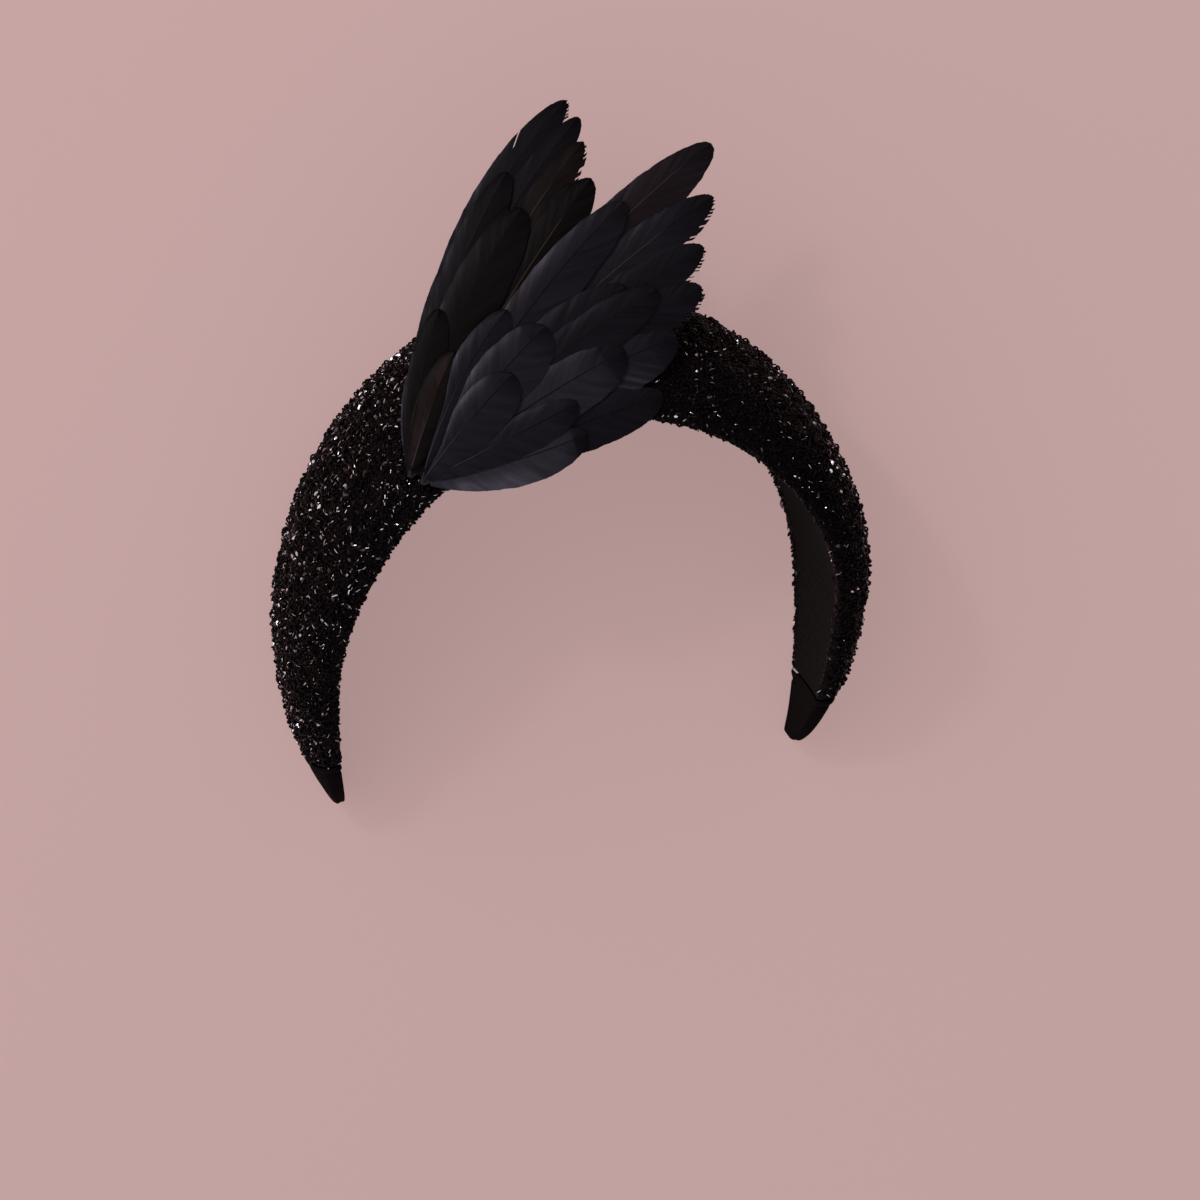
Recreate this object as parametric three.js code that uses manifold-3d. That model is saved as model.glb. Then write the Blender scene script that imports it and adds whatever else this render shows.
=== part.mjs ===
// Padded halo headband in black glitter knit, with a pair of black feather wings sewn on at the
// wearer's right.
// It lies on its rear hem: +X is the wearer's left, +Y the crown, +Z the front edge.
// The origin is in the middle of the rear hem, at the crown. Lengths are in millimetres, angles in degrees.
import * as THREE from "three";
import { mergeVertices } from "three/addons/utils/BufferGeometryUtils.js";
import Module from "manifold-3d";

const wasm = await Module();
wasm.setup();
const { degToRad, lerp } = THREE.MathUtils;

// Arch of the band, along the middle of its inner face
const HEAD_HALF_WIDTH = 77; // from the middle plane to the inner face at the widest line
const CROWN_RISE = 80.8; // from the widest line up to the inner face at the crown
const TIP_DROP = 56.5; // from the widest line down to the two tips
const ARCH_SWEEP = 115; // from the crown to each tip

// Padding and width of the band
const CROWN_WIDTH = 78.5; // front to rear over the crown
const TIP_WIDTH = 12; // front to rear at a tip
const WIDTH_TAPER = 3.8; // how late the width falls towards the tips
const CROWN_PADDING = 23.4; // thickness at the crown
const SIDE_PADDING = 13.2; // thickness at the widest line
const HEM = 3; // flat edge along front and rear, and the thickness of the tips
const FLAT_SHARE = 0.7; // share of each arm from which the padding thins out
const CROWN_CUP = 2; // how far the hems turn in towards the head, at the crown
const SIDE_CUP = 2.6; // and at the sides

// Plain fabric ends
const CAP_START = 0.915; // share of each arm where the knit ends
const CAP_NARROWING = 0.9; // how far the cap runs along a round end
const CAP_BLUNTNESS = 6; // how late it starts to narrow
const SEAM_GAP = 0.3; // clearance between pieces that meet

// Pair of wings: root on the band, and the lie of the plane that they spread in
const ROOT_SHARE = -0.34; // of the right arm, from the crown
const ROOT_ACROSS = 0.99; // of the width, from the rear hem
const WING_LEAN = 20.3; // back, over the crown
const WING_TURN = 11.6; // towards the wearer's right
const WING_ROLL = 3.4; // about its own face
const SPREAD_AXIS = 50; // middle direction of the spread, above the wearer's left
const SPREAD_TILT = 0.15; // rise of the leading edge for each millimetre across
const SPREAD_BEND = 160; // radius across the spread
const LENGTH_BEND = 500; // radius along the spread
const BEND_START = 30; // from the root to the crest of that bend

// Feathers
const FRONT_REACH = 128.6; // root to tip of the front wing's longest feather
const REAR_REACH = 117.2; // and of the rear wing's
const REAR_SHIFT_X = -3.4; // root of the rear wing, from that of the front one
const REAR_SHIFT_Y = 2;
const BREADTH = 18; // of the broadest feather
const LEADING_SHARE = 0.42; // of the breadth, before the shaft
const QUILL_SHARE = 0.14; // of the breadth, where a feather starts
const VANE_RISE = 3; // how fast the vane broadens from the quill
const VANE_THICKNESS = 0.3;
const SHAFT_HEIGHT = 0.1; // ridge of the shaft above the vane
const LAYER_GAP = 0.2; // between feathers that lie on each other
const TIP_HALF_BREADTH = 0.6;

// Pad under the root
const PAD_X = 2; // its middle, from the root
const PAD_Y = 9;
const PAD_RADIUS = 7;
const PAD_DEPTH = 5; // below its lowest top, into the band's side that it is cut to

// Numbers of steps in the meshes
const BAND_STEPS = 56;
const SECTION_STEPS = 9;
const CAP_STEPS = 6;
const FEATHER_STEPS = 11;
const SMALL_FEATHER_STEPS = 9;
const STATIONS_TO_TIP = 1.3; // how much closer a feather's steps get towards its tip
const PLAN_STEPS = 24; // along a feather, to see what it lies on
const PLAN_STEPS_ACROSS = 6;
const SEAT_STEPS = 240; // along the band, to see how high the wings must lie
const SEAT_STEPS_ACROSS = 40;
const PAD_RINGS = 4;
const PAD_SIDES = 16;

// Rows of feathers, from the lowest to the uppermost. Angle is above the wearer's left; reach, breadth
// and bow are shares of the wing's reach, the broadest breadth and the feather's own length; start,
// where it leaves the bundle of quills, is a share of that length; blunt is high for a round tip.
const COLUMNS = ["angle", "reach", "breadth", "bow", "start", "blunt"];
const REAR_ROWS = {
  rear_primary: [
    [67.8, 1.0, 0.82, 0.085, 0.16, 6],
    [65.1, 0.975, 0.76, 0.06, 0.16, 5],
    [62.8, 0.925, 0.74, 0.045, 0.17, 6],
    [61.3, 0.82, 0.78, 0.035, 0.18, 6],
    [58.9, 0.855, 0.86, 0.02, 0.18, 5],
    [50, 0.704, 0.9, 0.01, 0.2, 6],
    [42, 0.63, 0.9, 0, 0.2, 6],
    [33, 0.555, 0.9, 0, 0.2, 6],
  ],
  rear_covert: [
    [77.5, 0.583, 0.62, 0.04, 0.18, 5],
    [72.4, 0.784, 0.74, 0.05, 0.14, 5],
    [72.7, 0.5, 0.66, 0.03, 0.18, 5],
    [67.5, 0.712, 0.95, 0.05, 0.14, 5],
  ],
  rear_small_covert: [
    [85, 0.29, 0.5, 0.02, 0.06, 5],
    [80, 0.416, 0.6, 0.03, 0.08, 5],
    [74.7, 0.282, 0.5, 0.02, 0.06, 5],
    [70, 0.326, 0.66, 0.02, 0.06, 5],
  ],
};
const FRONT_ROWS = {
  front_primary: [
    [49.8, 1.0, 1.0, 0.05, 0.14, 5],
    [44.8, 0.915, 0.9, 0.045, 0.15, 6],
    [40.3, 0.823, 0.92, 0.04, 0.16, 6],
    [35.3, 0.765, 0.95, 0.035, 0.17, 6],
    [30.3, 0.657, 1.0, 0.03, 0.18, 6],
    [20.6, 0.574, 0.85, 0, 0.2, 5],
  ],
  front_covert: [
    [54.4, 0.774, 0.9, 0.04, 0.13, 5],
    [44.1, 0.631, 1.0, 0.045, 0.14, 6],
    [39.6, 0.68, 0.85, 0.04, 0.14, 6],
    [33.4, 0.54, 1.0, 0.02, 0.15, 6],
    [16.8, 0.385, 0.8, -0.03, 0.05, 5],
  ],
  front_small_covert: [
    [63.8, 0.43, 0.72, 0.05, 0.06, 5],
    [51.6, 0.445, 1.0, 0.03, 0.06, 7],
    [27.2, 0.391, 0.68, 0, 0.06, 6],
    [49.9, 0.317, 0.85, 0.02, 0.05, 7],
  ],
};

const knit = new THREE.MeshStandardMaterial({ color: 0x121114, roughness: 0.35, metalness: 0.2 });
const plainCloth = new THREE.MeshStandardMaterial({ color: 0x0c0b0c, roughness: 0.9, metalness: 0 });
const plumage = new THREE.MeshStandardMaterial({ color: 0x24242b, roughness: 0.5, metalness: 0 });

// Shape of the band

// Width of the band, front to rear, at a share of an arm.
function bandWidth(share) {
  const t = Math.abs(share);
  return TIP_WIDTH + (CROWN_WIDTH - TIP_WIDTH) * (1 - t ** WIDTH_TAPER);
}

// How much a point of an arm faces the side: 0 at the crown, 1 at the widest line.
function sideShare(share) {
  return Math.sin(degToRad(ARCH_SWEEP) * share) ** 2;
}

// Thickness of the band halfway across, at a share of an arm.
function bandPadding(share) {
  const thinning = Math.max(0, (Math.abs(share) - FLAT_SHARE) / (1 - FLAT_SHARE));
  const full = lerp(CROWN_PADDING, SIDE_PADDING, sideShare(share));
  return Math.max(HEM, full * (1 - thinning ** 2) + HEM * thinning ** 2);
}

// A point of the band: share runs from the right tip (-1) over the crown to the left one (1), across
// from the rear hem (0) to the front edge (1), and height from the inner face (0) to the outer one (1).
// Grow swells the band.
function bandPoint(share, across, height, grow = 0, narrowing = 1) {
  const angle = degToRad(ARCH_SWEEP) * share;
  const rise = Math.cos(angle) > 0 ? CROWN_RISE : TIP_DROP / Math.abs(Math.cos(degToRad(ARCH_SWEEP)));
  const outward = new THREE.Vector2(rise * Math.sin(angle), HEAD_HALF_WIDTH * Math.cos(angle)).normalize();
  const edge = 2 * across - 1;
  const cup = lerp(CROWN_CUP, SIDE_CUP, sideShare(share)) * edge ** 2 * (1 - share ** 4);
  const thickness = HEM + (bandPadding(share) - HEM) * Math.sqrt(1 - edge ** 2);
  const offset = -cup + thickness * height + grow * (2 * height - 1);
  return new THREE.Vector3(
    HEAD_HALF_WIDTH * Math.sin(angle) + outward.x * offset,
    rise * Math.cos(angle) + outward.y * offset - CROWN_RISE - (HEM / 2 - CROWN_CUP),
    bandWidth(share) * narrowing * across + grow * edge,
  );
}

// One ring of the band at a share of an arm: the outer face from rear to front, then the inner face back.
function bandRing(share, grow = 0, narrowing = 1) {
  const across = steps(0, Math.PI, SECTION_STEPS).map((angle) => (1 - Math.cos(angle)) / 2);
  return [
    ...across.map((u) => bandPoint(share, u, 1, grow, narrowing)),
    ...across.reverse().map((u) => bandPoint(share, u, 0, grow, narrowing)),
  ];
}

// A closed body through rings of points. The first half of a ring is one side, and the second half goes
// back along the other, so that each end closes with a strip between the two.
function loft(rings) {
  const around = rings[0].length;
  const positions = rings.flat().flatMap((p) => [p.x, p.y, p.z]);
  const index = [];
  for (let k = 0; k + 1 < rings.length; k++) {
    for (let j = 0; j < around; j++) {
      const a = k * around + j;
      const b = k * around + ((j + 1) % around);
      index.push(a, b, a + around, b, b + around, a + around);
    }
  }
  const last = (rings.length - 1) * around;
  for (let j = 0; j + 1 < around / 2; j++) {
    const opposite = around - 1 - j;
    index.push(j, opposite, j + 1, j + 1, opposite, opposite - 1);
    index.push(last + j, last + j + 1, last + opposite, last + j + 1, last + opposite - 1, last + opposite);
  }
  const geometry = new THREE.BufferGeometry();
  geometry.setAttribute("position", new THREE.Float32BufferAttribute(positions, 3));
  geometry.setIndex(index);
  return geometry;
}

function steps(from, to, count) {
  return Array.from({ length: count + 1 }, (_, i) => lerp(from, to, i / count));
}

function namedMesh(name, geometry, material) {
  geometry.computeVertexNormals();
  const mesh = new THREE.Mesh(geometry, material);
  mesh.name = name;
  return mesh;
}

function bandGeometry(grow = 0) {
  return loft(steps(-CAP_START, CAP_START, BAND_STEPS).map((share) => bandRing(share, grow)));
}

// A plain end: it goes on from the band, and its width falls along a round end to a small nub.
function capGeometry(side) {
  const armPerShare = degToRad(ARCH_SWEEP) * (TIP_DROP / Math.abs(Math.cos(degToRad(ARCH_SWEEP))));
  const start = CAP_START + SEAM_GAP / armPerShare;
  const rings = steps(start, 1, CAP_STEPS).map((share) => {
    const along = (share - start) / (1 - start);
    return bandRing(side * share, 0, Math.sqrt(1 - (CAP_NARROWING * along) ** CAP_BLUNTNESS));
  });
  return loft(side > 0 ? rings : rings.reverse());
}

// The wings' own frame: x and y in the plane of the spread, z off it towards the viewer

const wings = new THREE.Group();
wings.rotation.set(-degToRad(WING_LEAN), -degToRad(WING_TURN), -degToRad(WING_ROLL), "YXZ");
wings.position.copy(bandPoint(ROOT_SHARE, ROOT_ACROSS, 1));
wings.updateMatrixWorld(true);
const toWings = wings.matrixWorld.clone().invert();

// Height of the surface that all feathers lie along.
function spread(x, y) {
  const axis = degToRad(SPREAD_AXIS);
  const along = x * Math.cos(axis) + y * Math.sin(axis);
  const aside = y * Math.cos(axis) - x * Math.sin(axis);
  const bend = aside ** 2 / (2 * SPREAD_BEND) + (along - BEND_START) ** 2 / (2 * LENGTH_BEND);
  return SPREAD_TILT * aside - bend;
}

// A feather in the plane: its shaft runs from the root to the tip in a slight bow.
class Feather {
  constructor(name, row, reach, rootX, rootY) {
    COLUMNS.forEach((column, i) => (this[column] = row[i]));
    this.name = name;
    this.length = reach * this.reach;
    this.halves = [BREADTH * this.breadth * (1 - LEADING_SHARE), BREADTH * this.breadth * LEADING_SHARE];
    this.root = new THREE.Vector2(rootX, rootY);
    this.forward = new THREE.Vector2(Math.cos(degToRad(this.angle)), Math.sin(degToRad(this.angle)));
    this.aside = new THREE.Vector2(-this.forward.y, this.forward.x);
    this.level = 0;
  }

  bowAt(s) {
    return 4 * this.bow * this.length * s * (1 - s);
  }

  // Half breadth at a share of the length, on the trailing side (0) or the leading one (1).
  halfAt(s, side) {
    const q = Math.min(1, Math.max(0, (s - this.start) / (1 - this.start)));
    const swell = lerp(QUILL_SHARE, 1, 1 - (1 - q) ** VANE_RISE);
    return Math.max(TIP_HALF_BREADTH, this.halves[side] * swell * Math.sqrt(1 - q ** this.blunt));
  }

  // Place in the plane at a share of the length and across it, from -1 to 1.
  at(s, across) {
    const half = this.halfAt(s, across > 0 ? 1 : 0);
    return this.root
      .clone()
      .addScaledVector(this.forward, this.length * s)
      .addScaledVector(this.aside, this.bowAt(s) + across * half);
  }

  covers(point, margin) {
    const from = point.clone().sub(this.root);
    const s = from.dot(this.forward) / this.length;
    if (s < this.start - margin / this.length || s > 1 + margin / this.length) return false;
    const offset = from.dot(this.aside) - this.bowAt(s);
    return offset < this.halfAt(s, 1) + margin && offset > -this.halfAt(s, 0) - margin;
  }

  meets(other, margin) {
    const along = steps(this.start, 1, PLAN_STEPS);
    const across = steps(-1, 1, PLAN_STEPS_ACROSS);
    return along.some((s) => across.some((a) => other.covers(this.at(s, a), margin)));
  }
}

function makeFeathers(rows, reach, rootX, rootY) {
  return Object.entries(rows).flatMap(([name, list]) =>
    list.map((row, i) => new Feather(`${name}_${i + 1}`, row, reach, rootX, rootY)),
  );
}

const feathers = [
  ...makeFeathers(REAR_ROWS, REAR_REACH, REAR_SHIFT_X, REAR_SHIFT_Y),
  ...makeFeathers(FRONT_ROWS, FRONT_REACH, 0, 0),
];

// Each feather lies one layer above the uppermost of those under it.
const LAYER = VANE_THICKNESS + SHAFT_HEIGHT + LAYER_GAP;
feathers.forEach((feather, i) => {
  const lower = feathers.slice(0, i);
  const under = lower.filter((f) => f.meets(feather, LAYER_GAP) || feather.meets(f, LAYER_GAP));
  feather.level = 1 + Math.max(-1, ...under.map((f) => f.level));
});

// The wings rest on the band: they are lifted until the closest feather clears it by the seam gap.
function seatHeight() {
  let lift = -Infinity;
  for (const share of steps(-1, 1, SEAT_STEPS)) {
    for (const across of steps(0, 1, SEAT_STEPS_ACROSS)) {
      const point = bandPoint(share, across, 1).applyMatrix4(toWings);
      const plan = new THREE.Vector2(point.x, point.y);
      for (const feather of feathers) {
        if (!feather.covers(plan, SEAM_GAP)) continue;
        const underside = spread(point.x, point.y) + feather.level * LAYER - VANE_THICKNESS / 2;
        lift = Math.max(lift, point.z + SEAM_GAP - underside);
      }
    }
  }
  return lift;
}

const lift = seatHeight();

// A thin blade with the ridge of the shaft along it.
function featherGeometry(feather) {
  const count = feather.length > FRONT_REACH / 2 ? FEATHER_STEPS : SMALL_FEATHER_STEPS;
  const rings = steps(0, 1, count).map((i) => {
    const s = lerp(feather.start, 1, 1 - (1 - i) ** STATIONS_TO_TIP);
    const across = [1, 0.5, 0, -0.5, -1];
    const place = (a, top) => {
      const plan = feather.at(s, a);
      const middle = spread(plan.x, plan.y) + feather.level * LAYER + lift;
      const ridge = top && a === 0 ? SHAFT_HEIGHT * (1 - s) : 0;
      return new THREE.Vector3(plan.x, plan.y, middle + ((top ? 1 : -1) * VANE_THICKNESS) / 2 + ridge);
    };
    return [...across.map((a) => place(a, true)), ...across.reverse().map((a) => place(a, false))];
  });
  return loft(rings);
}

function toManifold(geometry) {
  const bare = new THREE.BufferGeometry();
  bare.setAttribute("position", geometry.getAttribute("position"));
  bare.setIndex(geometry.index);
  const merged = mergeVertices(bare);
  return new wasm.Manifold(
    new wasm.Mesh({
      numProp: 3,
      vertProperties: merged.attributes.position.array,
      triVerts: new Uint32Array(merged.index.array),
    }),
  );
}

function fromManifold(solid) {
  const made = solid.getMesh();
  const geometry = new THREE.BufferGeometry();
  geometry.setAttribute("position", new THREE.Float32BufferAttribute(made.vertProperties, 3));
  geometry.setIndex(new THREE.BufferAttribute(made.triVerts, 1));
  return geometry;
}

// Top of the pad: just under the lowest feather that lies within one facet of the pad.
function padTop(x, y) {
  const here = new THREE.Vector2(x, y);
  const facet = (1.5 * PAD_RADIUS) / PAD_RINGS;
  const over = feathers.filter((f) => f.covers(here, facet));
  const level = Math.min(...over.map((f) => f.level));
  return spread(x, y) + level * LAYER + lift - VANE_THICKNESS / 2 - SEAM_GAP;
}

// Round pad between the band and the feathers, cut to the band's surface.
function padGeometry() {
  const rings = steps(0, 1, PAD_RINGS).slice(1);
  const plan = rings.flatMap((r) =>
    steps(0, 2 * Math.PI, PAD_SIDES)
      .slice(0, -1)
      .map((a) => [PAD_X + PAD_RADIUS * r * Math.cos(a), PAD_Y + PAD_RADIUS * r * Math.sin(a)]),
  );
  plan.push([PAD_X, PAD_Y]);
  const centre = plan.length - 1;
  const tops = plan.map(([x, y]) => new THREE.Vector3(x, y, padTop(x, y)));
  const floor = Math.min(...tops.map((p) => p.z)) - PAD_DEPTH;
  const bottoms = plan.map(([x, y]) => new THREE.Vector3(x, y, floor));
  const half = plan.length;
  const index = [];
  for (let k = 0; k < PAD_SIDES; k++) {
    const next = (k + 1) % PAD_SIDES;
    index.push(centre, k, next, centre + half, next + half, k + half);
    for (let r = 0; r + 1 < PAD_RINGS; r++) {
      const a = r * PAD_SIDES + k;
      const b = r * PAD_SIDES + next;
      const c = a + PAD_SIDES;
      const d = b + PAD_SIDES;
      index.push(a, c, b, b, c, d);
      index.push(a + half, b + half, c + half, b + half, d + half, c + half);
    }
    const a = (PAD_RINGS - 1) * PAD_SIDES + k;
    const b = (PAD_RINGS - 1) * PAD_SIDES + next;
    index.push(a, a + half, b, b, a + half, b + half);
  }
  const geometry = new THREE.BufferGeometry();
  const positions = [...tops, ...bottoms].flatMap((p) => [p.x, p.y, p.z]);
  geometry.setAttribute("position", new THREE.Float32BufferAttribute(positions, 3));
  geometry.setIndex(index);
  const band = toManifold(bandGeometry(SEAM_GAP).applyMatrix4(toWings));
  return fromManifold(toManifold(geometry).subtract(band));
}

const fascinator = new THREE.Group();
fascinator.add(namedMesh("halo_band", bandGeometry(), knit));
fascinator.add(namedMesh("end_cap_right", capGeometry(-1), plainCloth));
fascinator.add(namedMesh("end_cap_left", capGeometry(1), plainCloth));
wings.add(namedMesh("wing_pad", padGeometry(), plainCloth));
feathers.forEach((feather) => wings.add(namedMesh(feather.name, featherGeometry(feather), plumage)));
fascinator.add(wings);

export default fascinator;
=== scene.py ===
import bpy
import numpy as np
from mathutils import Matrix


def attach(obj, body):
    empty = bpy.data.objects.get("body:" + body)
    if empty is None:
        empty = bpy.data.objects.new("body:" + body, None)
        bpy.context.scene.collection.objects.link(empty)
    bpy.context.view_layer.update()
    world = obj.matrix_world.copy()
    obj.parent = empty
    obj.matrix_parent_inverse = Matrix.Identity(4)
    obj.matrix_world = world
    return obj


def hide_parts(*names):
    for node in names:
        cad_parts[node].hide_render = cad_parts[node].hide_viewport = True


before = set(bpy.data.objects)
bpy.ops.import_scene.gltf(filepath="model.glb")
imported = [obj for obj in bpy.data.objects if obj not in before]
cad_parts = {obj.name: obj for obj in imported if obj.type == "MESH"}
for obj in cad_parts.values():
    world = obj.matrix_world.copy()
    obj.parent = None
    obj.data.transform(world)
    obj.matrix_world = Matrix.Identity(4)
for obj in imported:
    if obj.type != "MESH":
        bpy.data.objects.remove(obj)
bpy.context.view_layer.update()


# The camera. The band lies on its rear hem and is looked at from in front of the wearer's forehead, a
# little from above and from the right. The lens is far off, and the crown is at the top of the picture.
MM = 0.001               # metres
VIEW_TURN = 11.6         # towards the wearer's right, in degrees
VIEW_LEAN = 20.3         # up over the crown
VIEW_ROLL = 3.4          # about the line of sight
VIEW_DISTANCE = 1.7      # metres, from the middle of the arch
VIEW_WIDTH = 0.3586      # what the picture takes in at that distance
VIEW_MIDDLE = np.array([0, -80.3, 35]) * MM
VIEW_OFFSET = np.array([6.7, 8.3]) * MM    # of the picture's middle, right of and above that point
SENSOR = 36              # its width in millimetres


def facing(turn, lean, roll):
    """Rows are right, up and towards the viewer, for somebody who looks down on the hem plane and then
    turns about the up axis, leans back and rolls, by angles in degrees."""
    a, b, c = np.radians([turn, lean, roll])
    about_up = np.array([[np.cos(a), 0, np.sin(a)], [0, 1, 0], [-np.sin(a), 0, np.cos(a)]])
    about_right = np.array([[1, 0, 0], [0, np.cos(b), -np.sin(b)], [0, np.sin(b), np.cos(b)]])
    about_view = np.array([[np.cos(c), -np.sin(c), 0], [np.sin(c), np.cos(c), 0], [0, 0, 1]])
    return about_view @ about_right @ about_up


view = facing(VIEW_TURN, VIEW_LEAN, VIEW_ROLL)


def set_towards(thing, distance, right, up, rows=view):
    """Puts a camera or light that far from the middle of the arch, moved right and up, with its own
    right, up and backward directions along the rows."""
    placing = np.eye(4)
    placing[:3, :3] = rows.T
    placing[:3, 3] = VIEW_MIDDLE + distance * rows[2] + right * rows[0] + up * rows[1]
    thing.matrix_world = Matrix(placing.tolist())
    bpy.context.scene.collection.objects.link(thing)


camera = bpy.data.objects.new("camera", bpy.data.cameras.new("camera"))
camera.data.sensor_width = SENSOR
camera.data.lens = SENSOR * VIEW_DISTANCE / VIEW_WIDTH
set_towards(camera, VIEW_DISTANCE, *VIEW_OFFSET)
bpy.context.scene.camera = camera


# The studio. A plain pale pink floor under the band, a large soft light from the upper left of the
# picture, a small one beside it that draws the glints in the yarn, a faint one from the right, and weak
# light from everywhere else, more of it from the left.
FLOOR_SIZE = 9.0         # metres
FLOOR_DROP = 0.2         # below the hem, in mm
FLOOR_COLOR = (0.185, 0.125, 0.1225)
FLOOR_GLOW = 1.98        # times its colour, which keeps the shade on it as pale as on a lit backdrop
ROOM_COLOR = (1, 0.93, 0.92, 1)
ROOM_LIGHT = (0.12, 1.05)        # of the dark and the bright side
ROOM_BRIGHT = (-0.9, 0.2, 0.4)   # where the bright side is: right, up and towards the camera
ROOM_CHANGE = 0.9        # how far to both sides of the middle the light changes
LIGHTS = [               # watts, side in metres, distance, turn and lean away from the camera's own
    (92, 3.2, 4.5, -36, 18),
    (6, 0.12, 1.6, -26, 20),
    (0.6, 0.2, 1.8, 66, 24),
]


def new_material(name, color, roughness, **inputs):
    """A material with a Principled shader, with its node tree and that shader."""
    material = bpy.data.materials.new(name)
    material.use_nodes = True
    shader = material.node_tree.nodes["Principled BSDF"]
    shader.inputs["Base Color"].default_value = (*color, 1)
    shader.inputs["Roughness"].default_value = roughness
    for key, value in inputs.items():
        shader.inputs[key.replace("_", " ")].default_value = value
    return material, material.node_tree, shader


def place(name, points, faces, materials, face_material=None, smooth=True, uv=None, **values):
    """A mesh object from points in millimetres and faces of three or four corners. Its UV and each
    named value, which becomes an attribute, hold one entry for each point."""
    mesh = bpy.data.meshes.new(name)
    mesh.vertices.add(len(points))
    mesh.vertices.foreach_set("co", (np.asarray(points) * MM).astype(np.float32).ravel())
    faces = np.asarray(faces, dtype=np.int32)
    mesh.loops.add(faces.size)
    mesh.loops.foreach_set("vertex_index", faces.ravel())
    mesh.polygons.add(len(faces))
    starts = np.arange(0, faces.size, faces.shape[1], dtype=np.int32)
    mesh.polygons.foreach_set("loop_start", starts)
    mesh.polygons.foreach_set("use_smooth", np.full(len(faces), smooth))
    for material in materials:
        mesh.materials.append(material)
    if face_material is not None:
        mesh.polygons.foreach_set("material_index", np.asarray(face_material, dtype=np.int32))
    if uv is not None:
        layer = mesh.uv_layers.new(name="UVMap")
        layer.data.foreach_set("uv", np.asarray(uv, dtype=np.float32)[faces.ravel()].ravel())
    for key, value in values.items():
        layer = mesh.attributes.new(key, "FLOAT", "POINT")
        layer.data.foreach_set("value", np.asarray(value, dtype=np.float32))
    mesh.update(calc_edges=True)
    mesh.validate()
    piece = bpy.data.objects.new(name, mesh)
    bpy.context.scene.collection.objects.link(piece)
    return piece


def add(tree, kind, **settings):
    """A new node. A setting that starts with in_ is the value of that input."""
    node = tree.nodes.new(kind)
    for key, value in settings.items():
        if key.startswith("in_"):
            node.inputs[key[3:].replace("_", " ")].default_value = value
        else:
            setattr(node, key, value)
    return node


def wire(tree, *links):
    """Connects nodes. Each link is a node, one of its outputs, another node and one of its inputs."""
    for source, output, target, entry in links:
        tree.links.new(source.outputs[output], target.inputs[entry])


world = bpy.data.worlds.new("room")
world.use_nodes = True
bpy.context.scene.world = world
room = world.node_tree.nodes["Background"]
room.inputs["Color"].default_value = ROOM_COLOR
room_place = add(world.node_tree, "ShaderNodeTexCoord")
room_side = add(world.node_tree, "ShaderNodeVectorMath", operation="DOT_PRODUCT")
room_side.inputs[1].default_value = np.array(ROOM_BRIGHT) @ view
room_scale = add(world.node_tree, "ShaderNodeMapRange", in_From_Min=-ROOM_CHANGE,
                 in_From_Max=ROOM_CHANGE, in_To_Min=ROOM_LIGHT[0], in_To_Max=ROOM_LIGHT[1])
wire(world.node_tree, (room_place, "Generated", room_side, 0),
     (room_side, "Value", room_scale, "Value"), (room_scale, "Result", room, "Strength"))
bpy.context.scene.view_settings.view_transform = "Standard"
for index, (power, side, distance, turn, lean) in enumerate(LIGHTS):
    light = bpy.data.lights.new(f"light_{index}", "AREA")
    light.energy = power
    light.size = side
    lamp = bpy.data.objects.new(light.name, light)
    set_towards(lamp, distance, 0, 0, facing(VIEW_TURN - turn, VIEW_LEAN + lean, 0))

floor_cloth, _, _ = new_material("floor", FLOOR_COLOR, 0.95, Specular_IOR_Level=0.1,
                                 Emission_Color=(*FLOOR_COLOR, 1), Emission_Strength=FLOOR_GLOW)
floor_sides = np.array([[-1, -1], [1, -1], [1, 1], [-1, 1]]) * FLOOR_SIZE / 2 / MM
floor_corners = np.column_stack([floor_sides, np.full(4, -FLOOR_DROP)])
floor = place("floor", floor_corners, [[0, 1, 2, 3]], [floor_cloth])


# The padded band. A thick crescent of foam over the crown, D-shaped in section and drawn in to a thin
# flat tip behind each ear. Its own black cloth shows on the inner side, which lies on the head.
HEAD_HALF_WIDTH = 77     # in mm, as are all lengths below
CROWN_RISE = 80.8        # from the widest line of the opening up to the crown
TIP_DROP = 56.5          # and down to the tips
ARCH_SWEEP = 115         # degrees from the crown to a tip
CROWN_WIDTH = 78.5       # from the rear hem to the front edge
TIP_WIDTH = 12
WIDTH_TAPER = 3.8        # the power of the narrowing, which comes late on each arm
CROWN_PADDING = 23.4     # thickness over the crown, and at the widest line
SIDE_PADDING = 13.2
HEM = 3                  # thickness at the edges and the tips
FLAT_SHARE = 0.7         # of an arm, after which the padding thins out
CROWN_CUP = 2            # how far the edges turn in towards the head
SIDE_CUP = 2.6
CAP_START = 0.915        # of an arm, where the knit ends
CLOTH_INSET = 0.45       # of the pad below the outline, where the knit lies on it
HALO_ROWS = 261
HALO_ROUND = 96
YARN_BLACK = (0.0012, 0.001, 0.001)
CLOTH_BLACK = (0.004, 0.0034, 0.0036)


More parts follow.
